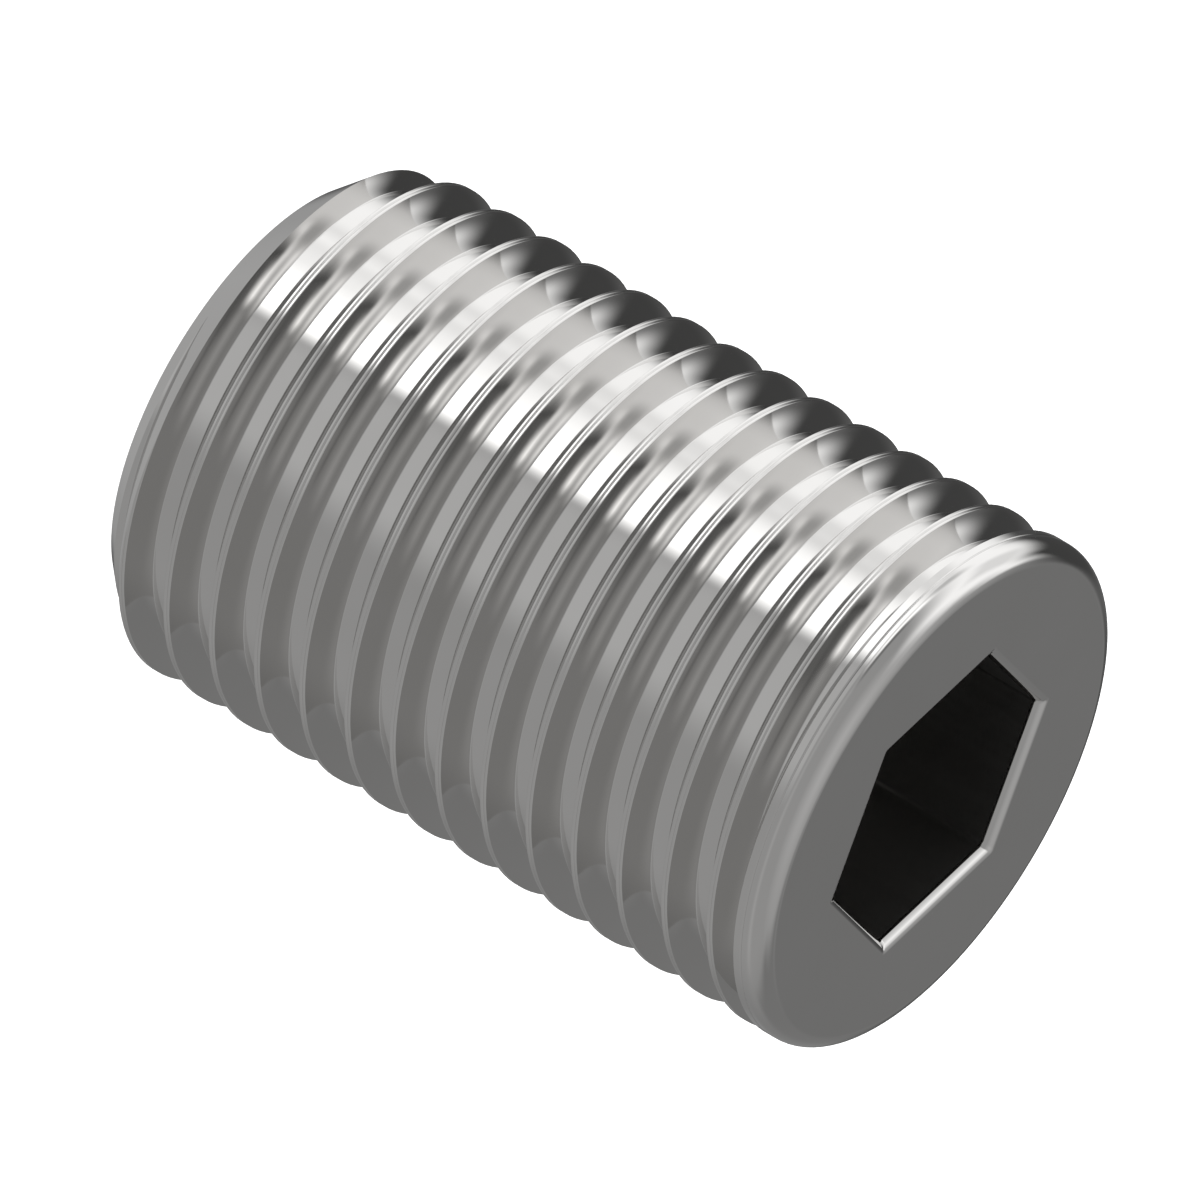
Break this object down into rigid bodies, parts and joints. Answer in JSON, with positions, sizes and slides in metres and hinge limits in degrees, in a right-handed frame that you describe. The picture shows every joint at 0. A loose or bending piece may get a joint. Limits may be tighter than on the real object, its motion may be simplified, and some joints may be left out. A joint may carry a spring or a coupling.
{
  "type": "cup point set screw",
  "caption": "Headless hex socket set screw with a right-hand thread along its whole length, a rounded edge round the socket face and a chamfered cup point.",
  "frame": {"origin": "centre of the plane of the cup's rim, on which the screw stands", "axes": "+Z along the screw's axis, from the cup point towards the hex socket; +X through a corner of the hexagon"},
  "size_m": [0.0126, 0.0126, 0.0191],
  "materials": {
    "steel": "bright polished stainless steel, machined and rolled"
  },
  "bodies": {
    "root": {"set_screw": "steel"}
  },
  "joints": []
}
